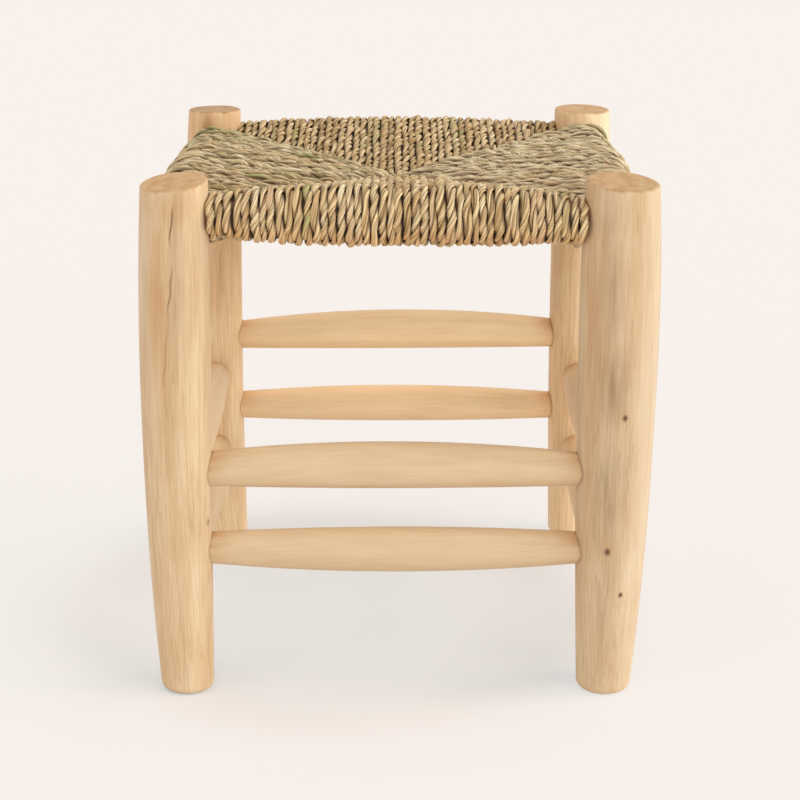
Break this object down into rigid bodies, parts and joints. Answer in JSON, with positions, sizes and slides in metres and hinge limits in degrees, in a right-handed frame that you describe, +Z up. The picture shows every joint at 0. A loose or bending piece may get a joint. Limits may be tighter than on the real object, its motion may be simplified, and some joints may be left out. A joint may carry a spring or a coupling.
{
  "type": "low stool",
  "caption": "Low square stool of peeled logs with upper and lower stretchers and a woven palm-cord seat in triangular fields.",
  "frame": {"origin": "on the floor under the middle of the outline", "axes": "+Z up, front at -Y, the stool's left in the picture at -X"},
  "size_m": [0.4061, 0.3997, 0.4255],
  "materials": {
    "leg_wood": "bare peeled wood, matt",
    "stick_wood": "bare whittled wood, matt",
    "seat_cord": "twisted palm leaf, matt"
  },
  "bodies": {
    "root": {"front_left_leg": "leg_wood", "front_right_leg": "leg_wood", "rear_left_leg": "leg_wood", "rear_right_leg": "leg_wood", "front_upper_stretcher": "stick_wood", "front_lower_stretcher": "stick_wood", "front_seat_rail": "stick_wood", "right_upper_stretcher": "stick_wood", "right_lower_stretcher": "stick_wood", "right_seat_rail": "stick_wood", "rear_upper_stretcher": "stick_wood", "rear_lower_stretcher": "stick_wood", "rear_seat_rail": "stick_wood", "left_upper_stretcher": "stick_wood", "left_lower_stretcher": "stick_wood", "left_seat_rail": "stick_wood", "front_seat_weave": "seat_cord", "right_seat_weave": "seat_cord", "rear_seat_weave": "seat_cord", "left_seat_weave": "seat_cord"}
  },
  "joints": []
}
